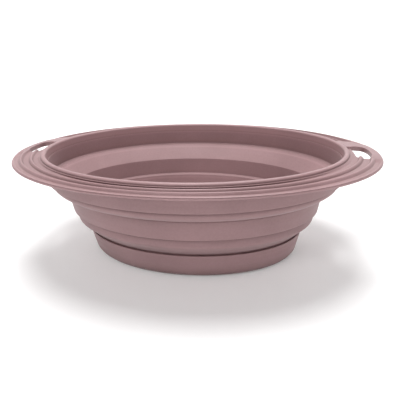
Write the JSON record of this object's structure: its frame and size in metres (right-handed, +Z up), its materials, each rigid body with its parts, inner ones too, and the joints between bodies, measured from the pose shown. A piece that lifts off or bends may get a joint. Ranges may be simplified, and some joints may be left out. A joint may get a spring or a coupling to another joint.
{
  "type": "folding pet bathtub",
  "caption": "Oval folding pet bathtub: rigid ridged rim with end handles, soft wall with folding webs, rigid base pan; it collapses flat.",
  "frame": {"origin": "centre of the ground plane under the open tub", "axes": "+X through the two end handles, +Y across the tub towards the side with the handle pads, +Z up"},
  "size_m": [0.45, 0.325, 0.137],
  "materials": {
    "rim_plastic": "satin moulded polypropylene, dusty rose",
    "soft_wall": "matt thermoplastic rubber, dusty rose",
    "base_plastic": "satin moulded polypropylene, dusty rose"
  },
  "bodies": {
    "base": {"base_pan": "base_plastic", "base_collar": "soft_wall", "lower_fold_web": "soft_wall"},
    "middle": {"middle_band": "soft_wall", "upper_fold_web": "soft_wall"},
    "rim": {"upper_band": "soft_wall", "rim_frame": "rim_plastic"}
  },
  "joints": [
    {"name": "lower_fold", "type": "slide", "parent": "base", "child": "middle", "axis": [0, 0, 1], "range_m": [-0.06, 0], "deforming": ["lower_fold_web"]},
    {"name": "upper_fold", "type": "slide", "parent": "middle", "child": "rim", "axis": [0, 0, 1], "range_m": [-0.032, 0], "deforming": ["upper_fold_web"]}
  ]
}
